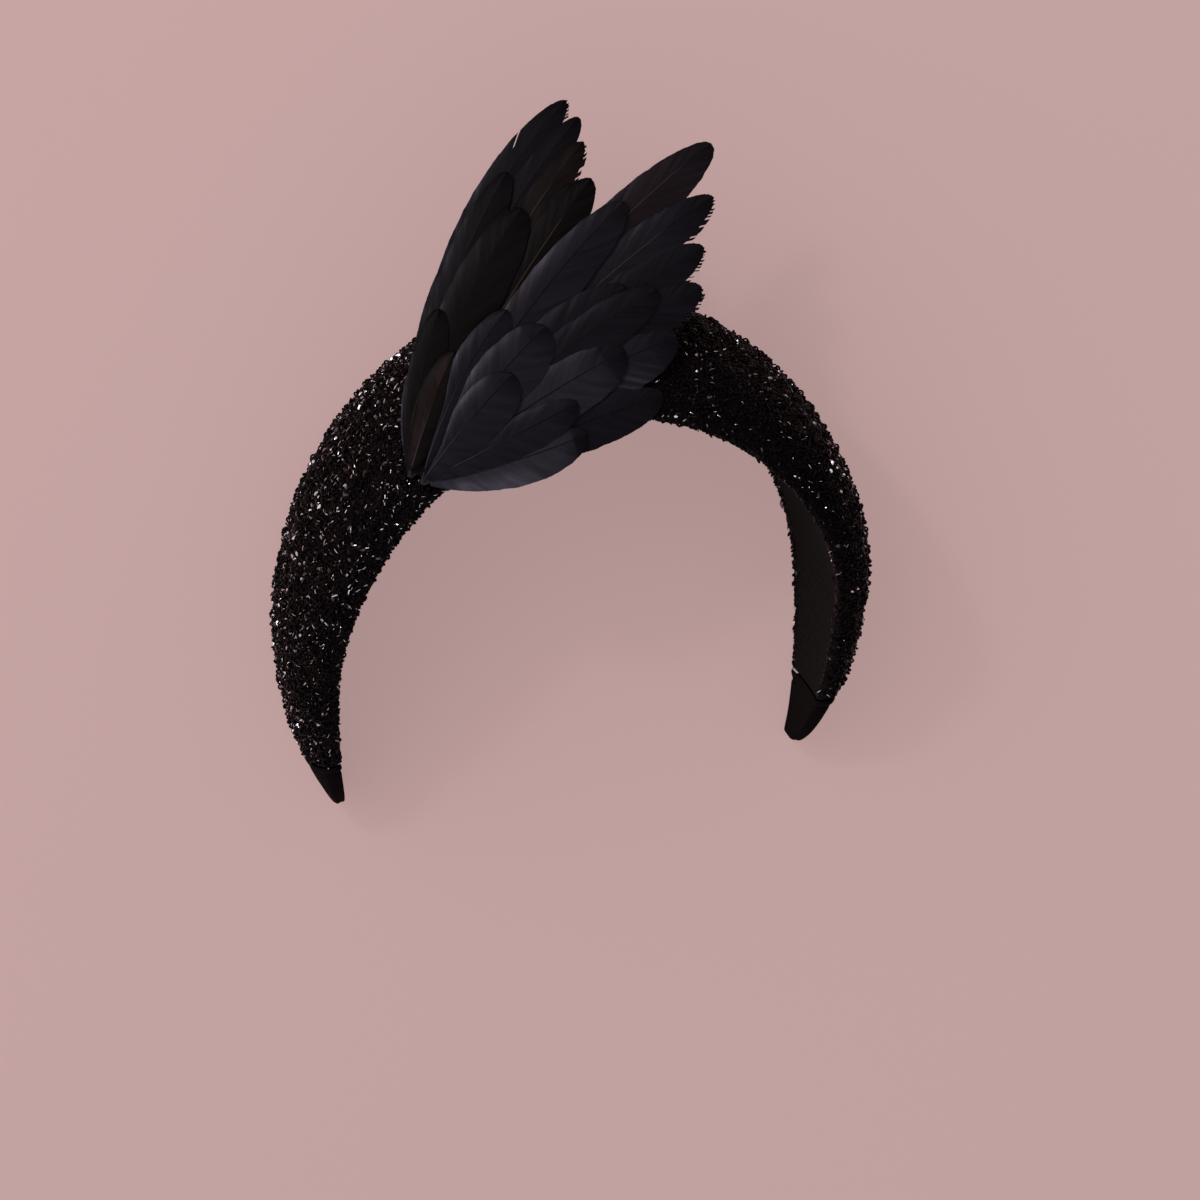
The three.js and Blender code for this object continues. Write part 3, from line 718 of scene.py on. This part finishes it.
SPLITS = {               # an open split: where along it, on which side, how far out, how wide in mm
    "rear_primary_1": (0.72, 1, 0.62, 0.3),
}
TAN_LEADING = {"rear_small_covert_4"}    # its leading vane is tan, with a pale streak by the quill
# its trailing vane gets the painted highlight too, over the lower half of the feather
PALE_TRAILING = {"front_covert_5"}
RIBBED = {"front_primary_5"}             # ribs across the trailing vane, near the tip, drawn as painted highlights
# these get only a thin painted highlight along the leading margin
THIN_RIMS = {"rear_small_covert_1", "rear_small_covert_2"}
PALE_QUILLS = {"front_covert_5", "front_small_covert_1", "front_small_covert_2", "front_small_covert_3",
               "front_small_covert_4", "rear_small_covert_3", "rear_small_covert_4"}
FRAYED = {"front_primary_2", "front_primary_3", "front_primary_4", "rear_primary_1", "rear_primary_3",
          "rear_primary_4"}


def smooth_noise(rng, values, step):
    """A random curve about 0 with a new height every step, eased between them."""
    knots = rng.normal(0, 1, int(np.max(values) / step) + 3)
    place_in = np.clip(values / step, 0, len(knots) - 1.001)
    low = place_in.astype(int)
    share = place_in - low
    share = share * share * (3 - 2 * share)
    return knots[low] * (1 - share) + knots[low + 1] * share


barb_group, barb_in, barb_out = new_group("feather barbs", {"Barbs per mm": 1.5}, ["Height", "Shade"])
barb_uv = add(barb_group, "ShaderNodeUVMap", uv_map="UVMap")
barb_scale = add(barb_group, "ShaderNodeVectorMath", operation="SCALE")
barb_wave = add(barb_group, "ShaderNodeTexWave", bands_direction="X", in_Scale=0.31, in_Distortion=0.5,
                in_Detail=1.0, in_Detail_Scale=0.4)
barb_stretch = add(barb_group, "ShaderNodeVectorMath", operation="MULTIPLY")
barb_stretch.inputs[1].default_value = (0.3, 0.08, 1)
barb_clumps = add(barb_group, "ShaderNodeTexNoise", in_Scale=1.0, in_Detail=3.0)
barb_sum = add(barb_group, "ShaderNodeMath", operation="MULTIPLY_ADD")
barb_sum.inputs[1].default_value = 3.0
wire(barb_group, (barb_uv, "UV", barb_scale, 0), (barb_in, "Barbs per mm", barb_scale, "Scale"),
     (barb_scale, 0, barb_wave, "Vector"), (barb_scale, 0, barb_stretch, 0),
     (barb_stretch, 0, barb_clumps, "Vector"), (barb_clumps, "Fac", barb_sum, 0),
     (barb_wave, "Fac", barb_sum, 2), (barb_sum, 0, barb_out, "Height"),
     (barb_clumps, "Fac", barb_out, "Shade"))


def vane_material(name, black, blue, purple, pale, gloss):
    """Barbs whose colour runs from brown over black to purple with the attribute tone, gets lighter
    where the attribute edge is over 0, mostly as a painted highlight, and darker where it is under, as
    painted shade at the tip, and varies between clumps."""
    material, tree, shader = new_material(name, black, 0.4, Specular_IOR_Level=gloss,
                                          Specular_Tint=(1, 0.93, 1, 1))
    tone = add(tree, "ShaderNodeAttribute", attribute_name="tone")
    edge = add(tree, "ShaderNodeAttribute", attribute_name="edge")
    barbs = add(tree, "ShaderNodeGroup", node_tree=barb_group)
    hue = ramp(tree, (0.0, VANE_TAN), (0.1, VANE_BROWN), (0.2, black), (0.5, black), (0.75, blue),
               (1.0, purple))
    light = ramp(tree, (0.0, (0, 0, 0)), (1.0, pale))
    shade = ramp(tree, (0.25, (0.72, 0.72, 0.72)), (0.75, (1.34, 1.34, 1.34)))
    rough = ramp(tree, (0.3, (0.34, 0.34, 0.34)), (0.7, (0.52, 0.52, 0.52)))
    total = add(tree, "ShaderNodeMix", data_type="RGBA", blend_type="ADD")
    shaded = add(tree, "ShaderNodeMix", data_type="RGBA", blend_type="MULTIPLY")
    # Where edge is under 0 the colour is dimmed: painted shade at the tip.
    dimmed = add(tree, "ShaderNodeMix", data_type="RGBA", blend_type="MULTIPLY")
    dimming = add(tree, "ShaderNodeMapRange", in_From_Min=-1.0, in_From_Max=0.0, in_To_Min=0.6,
                  in_To_Max=1.0)
    bump = add(tree, "ShaderNodeBump", in_Strength=0.6, in_Distance=0.03 * MM)
    for mix in (total, shaded, dimmed):
        mix.inputs["Factor"].default_value = 1.0
    wire(tree, (tone, "Fac", hue, "Fac"), (edge, "Fac", light, "Fac"), (hue, "Color", total, "A"),
         (light, "Color", total, "B"), (barbs, "Shade", shade, "Fac"), (barbs, "Shade", rough, "Fac"),
         (total, "Result", shaded, "A"), (shade, "Color", shaded, "B"), (edge, "Fac", dimming, "Value"),
         (shaded, "Result", dimmed, "A"), (dimming, "Result", dimmed, "B"),
         (dimmed, "Result", shader, "Base Color"), (rough, "Color", shader, "Roughness"),
         (barbs, "Height", bump, "Height"), (bump, "Normal", shader, "Normal"))
    return material


front_vane = vane_material("front vane", (0.0036, 0.0031, 0.0045), (0.0046, 0.004, 0.0068),
                           (0.0066, 0.0042, 0.0056), (0.034, 0.031, 0.042), 0.055)
rear_vane = vane_material("rear vane", (0.0026, 0.0018, 0.0019), (0.0034, 0.003, 0.0042),
                          (0.005, 0.0034, 0.0044), (0.026, 0.025, 0.032), 0.03)

shaft_material, shaft_tree, shaft_shader = new_material("feather shaft", (0.01, 0.009, 0.01), 0.45,
                                                        Specular_IOR_Level=0.02)
shaft_light = add(shaft_tree, "ShaderNodeAttribute", attribute_name="edge")
shaft_color = ramp(shaft_tree, (0.0, (0.0034, 0.0028, 0.0036)), (0.4, (0.022, 0.02, 0.026)),
                   (0.6, (0.03, 0.02, 0.016)), (1.0, (0.04, 0.0225, 0.0135)))
wire(shaft_tree, (shaft_light, "Fac", shaft_color, "Fac"),
     (shaft_color, "Color", shaft_shader, "Base Color"))


def feather_placing(row, reach, shift, level):
    """A function that places points on one feather, from their share of its length, their distance to
    its leading side and their height over it. The shaft bows aside as a parabola, and the whole feather
    lies that level over the wings' surface."""
    angle, share, _, bow, _, _ = row
    length = reach * share
    forward = np.array([np.cos(np.radians(angle)), np.sin(np.radians(angle))])
    aside = np.array([-forward[1], forward[0]])

    def on_feather(along, across, height):
        bowed = across + 4 * bow * length * along * (1 - along)
        x = shift[0] + forward[0] * length * along + aside[0] * bowed
        y = shift[1] + forward[1] * length * along + aside[1] * bowed
        return np.stack([x, y, wing_rise(x, y) + level + height], -1).reshape(-1, 3)

    return on_feather


def vane_mesh(name, row, length, on_feather, rng):
    """Both vanes as one grid: a row for each clump of barbs, from margin to margin, and columns along
    the shaft. A barb leaves the shaft at its foot and meets the margin further on. The margin widens by
    a power from the quill, and closes as a blunt ellipse. Each vane falls from the shaft by a power of
    the distance. Side is -1 at the trailing margin and 1 at the leading one. Gives points, faces and
    UV, and for the light how far each foot is in mm, the side and each point's share of the length."""
    _, _, breadth, _, start, blunt = row
    foot = np.linspace(0, 1, BARB_ROWS)[:, None]
    side = np.linspace(-1, 1, 2 * BARB_STEPS + 1)[None]
    out = np.abs(side)
    reached = 1 - (1 - foot) ** BARB_SWEEP
    margin = np.where(side < 0, 1 - LEADING_SHARE, LEADING_SHARE) * BREADTH * breadth
    margin = margin * (QUILL_SHARE + (1 - QUILL_SHARE) * (1 - (1 - reached) ** VANE_RISE))
    margin = margin * np.sqrt(np.clip(1 - reached ** blunt, 0, 1))
    if name in NARROW_FROM:
        margin = margin * np.where(side > 0, 0.25 + 0.75 * ease(reached, *NARROW_FROM[name]), 1)
    rough = MARGIN_ROUGH * rng.normal(0, 1, (BARB_ROWS, 2))
    waves = [smooth_noise(rng, foot[:, 0] * length, MARGIN_STEP) for _ in range(2)]
    ragged = rough + MARGIN_WAVE * np.stack(waves, -1)
    ragged = np.where(side < 0, ragged[:, :1], ragged[:, 1:])
    at_tip = ease(reached, FRAY_FROM, 1.0)
    fray = np.where((side < 0) & (name in FRAYED), FRAY[1], FRAY[0])
    beyond = rng.normal(0, 1, (BARB_ROWS, 1)) * fray * at_tip ** 2 * out ** 3
    along = foot + (reached - foot) * out ** BARB_CURVE
    along = start + (1 - start) * along + beyond / length
    across = side * margin * (1 + ragged * out ** 2)

    # Barbs part at up to two places on each feather, and the outermost ones of a frayed tip are lost.
    kept = np.ones((BARB_ROWS - 1, 2 * BARB_STEPS), bool)
    middles = (side[0, 1:] + side[0, :-1]) / 2
    splits = [(rng.uniform(0.45, 0.93), rng.choice([-1, 1]), rng.uniform(0.3, 0.7),
               rng.uniform(0.2, 0.6)) for _ in range(rng.integers(0, 3))]
    if name in SPLITS:
        splits = [SPLITS[name]]
    for where, hand, depth, parted in splits:
        on_side = np.clip((side * hand - depth) / (1 - depth), 0, 1)
        push = np.sign(foot - where) * np.exp(-np.abs(foot - where) / 0.05) * on_side ** 1.3
        along = along + push * parted / 2 / length
        if name in SPLITS:
            kept[int(where * BARB_ROWS), middles * hand > depth] = False
    fringe = rng.uniform(0, 1, BARB_ROWS - 1)[:, None] < (FRINGE_SHARE if name in FRAYED else 0.0)
    kept &= ~(fringe & (reached[1:] > FRINGE_FROM) & (middles[None] < -1 + 1.2 / BARB_STEPS))

    arch = VANE_CROWN - np.where(side < 0, TRAILING_DROP * out ** 2.2, LEADING_DROP * out ** 4)
    clumps = CLUMP_RISE * smooth_noise(rng, foot * length, CLUMP_STEP) * out
    hollow = VANE_HOLLOW * np.sin(np.pi * out) * ease(along, 0.35, 0.6)
    droop = TIP_DROOP * ease(along, DROOP_FROM, 1.0) ** 2
    points = on_feather(along, across, arch + clumps - hollow - droop)
    faces = grid_faces(BARB_ROWS, 2 * BARB_STEPS + 1)[kept.ravel()]
    uv = np.stack([foot * length * (1 - start) + 0 * side, side * margin], -1).reshape(-1, 2)
    return points, faces, uv, foot * length, side, along


def vane_light(name, hue, distance, side, along, rng):
    """The attributes tone and edge of the vanes' points. Tone is the hue with slow noise. Edge is the
    painted highlight of the leading rim, in patches and streaks, with the light added over some whole
    vanes, that comes in after the quill and gets weak towards the tip, where it turns into painted
    shade."""
    tone = hue + rng.normal(0, 0.05) + 0.06 * smooth_noise(rng, distance, HUE_STEP) + 0 * side
    if name in HUES:
        tone = HUES[name] + 0.04 * smooth_noise(rng, distance, HUE_STEP) + 0 * side
    if name in TAN_LEADING:
        tan_share = ease(side, 0, 0.12) * (1 - ease(side, 0.5, 0.8)) * (1 - ease(along, 0.85, 1.0))
        tan_share = tan_share * np.clip(0.9 + 0.3 * smooth_noise(rng, distance, PATCH_STEP), 0.3, 1)
        tone = tone * (1 - tan_share)
    # The painted highlight of the leading rim: its strength, patches, streaks and width.
    gleam = GLEAMS.get(name, rng.uniform(*PLAIN_GLEAM))
    patches = np.clip(0.7 + 0.5 * smooth_noise(rng, distance, PATCH_STEP), 0.05, 1.6)
    streaks = np.clip(1 + 0.3 * smooth_noise(rng, distance, STREAK_STEP), 0.3, 1.8)
    rim = 0.12 * ease(side, 0.2, 0.9) + 0.42 * ease(side, 0.68, 0.97)
    if name in THIN_RIMS:
        rim = 1.2 * ease(side, 0.8, 0.95)
    if name in TAN_LEADING:
        rim = 0.8 * ease(side, 0, 0.12) * (1 - ease(side, 0.12, 0.35)) * (1 - ease(along, 0.4, 0.6))
    # The trailing vane gets the painted highlight too, on the lower half of the feather.
    if name in PALE_TRAILING:
        rim = rim + 0.9 * ease(-side, 0.1, 0.9) * (1 - ease(along, 0.45, 0.8))
        streaks = 0.5 + 0.5 * streaks
    # Painted highlights on ribs across the trailing vane.
    if name in RIBBED:
        ribs = 0.5 + 0.5 * np.sin(distance * 2 * np.pi / RIB_PITCH)
        rim = rim + 0.5 * ribs * ease(-side, 0.1, 0.9) * ease(along, 0.6, 0.8)
    edge = gleam * patches * streaks * rim
    edge = edge * ease(along, 0.08, 0.25) * (1 - 0.6 * ease(along, 0.55, 0.9))
    # Painted shade: the highlight gives way towards the tip, and the last tenth of the length is
    # darkened.
    tip = ease(along, 0.8, 1.0)
    edge = np.clip(edge + PALE_VANES.get(name, 0.0) - 0.07 * tip, 0, 1.5) * (1 - 0.85 * tip)
    return tone, edge - ease(along, 0.9, 1.0)


def shaft_mesh(name, row, length, level, on_feather, rng):
    """The quill and the shaft as one tube, which tapers in two straight parts from the wing's root to
    near the feather's tip. It starts lower, so that all quills meet on the pad. Gives points, faces, UV
    and how light each point is."""
    _, _, breadth, _, start, _ = row
    run = np.linspace(0, SHAFT_END, SHAFT_ROWS)[:, None]
    turn = np.linspace(0, 2 * np.pi, SHAFT_ROUND)[None]
    radius = np.interp(run, [0, start, 1], [QUILL_RADIUS, SHAFT_RADIUS, SHAFT_POINT])
    radius = radius * (0.8 + 0.2 * breadth)
    drop = (1 - ease(run, 0, start + 0.03)) * (level - np.minimum(level, QUILL_LEVEL))
    rise = VANE_CROWN - TIP_DROOP * ease(run, DROOP_FROM, 1.0) ** 2 - drop
    points = on_feather(run, radius * np.cos(turn), rise + radius * (0.2 + np.sin(turn)))
    uv = np.stack([run * length + 0 * turn, turn + 0 * run], -1).reshape(-1, 2)
    light = rng.uniform(0.0, 0.07)
    if name in PALE_QUILLS:
        light = 0.42 * (1 - ease(run, 0.2, 0.75))
    if name in TAN_SHAFTS:
        light = 1 - ease(run, TAN_SHAFTS[name] - 0.04, TAN_SHAFTS[name] + 0.04)
    edge = np.where(run < start, np.maximum(light, 0.3), light) + 0 * turn
    return points, grid_faces(SHAFT_ROWS, SHAFT_ROUND), uv, edge


feather_rng = np.random.default_rng(5)
for group_name, rows in FEATHERS.items():
    is_front = group_name.startswith("front")
    reach = FRONT_REACH if is_front else REAR_REACH
    shift = (0, 0) if is_front else REAR_SHIFT
    for index, row in enumerate(rows, 1):
        name = f"{group_name}_{index}"
        length = reach * row[1]
        level = np.median(node_heights(name))
        on_feather = feather_placing(row, reach, shift, level)
        vane, vane_faces, vane_uv, *spots = vane_mesh(name, row, length, on_feather, feather_rng)
        tone, edge = vane_light(name, FRONT_HUE if is_front else REAR_HUE, *spots, feather_rng)
        shaft, shaft_faces, shaft_uv, shaft_edge = shaft_mesh(name, row, length, level, on_feather,
                                                              feather_rng)
        plume = place(f"plume_{name}", from_wing(np.concatenate([vane, shaft])),
                      np.concatenate([vane_faces, shaft_faces + len(vane)]),
                      [front_vane if is_front else rear_vane, shaft_material],
                      face_material=np.repeat([0, 1], [len(vane_faces), len(shaft_faces)]),
                      uv=np.concatenate([vane_uv, shaft_uv]),
                      tone=np.concatenate([tone.ravel(), np.zeros(len(shaft))]),
                      edge=np.concatenate([edge.ravel(), shaft_edge.ravel()]))
        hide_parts(name)
        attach(plume, "root")
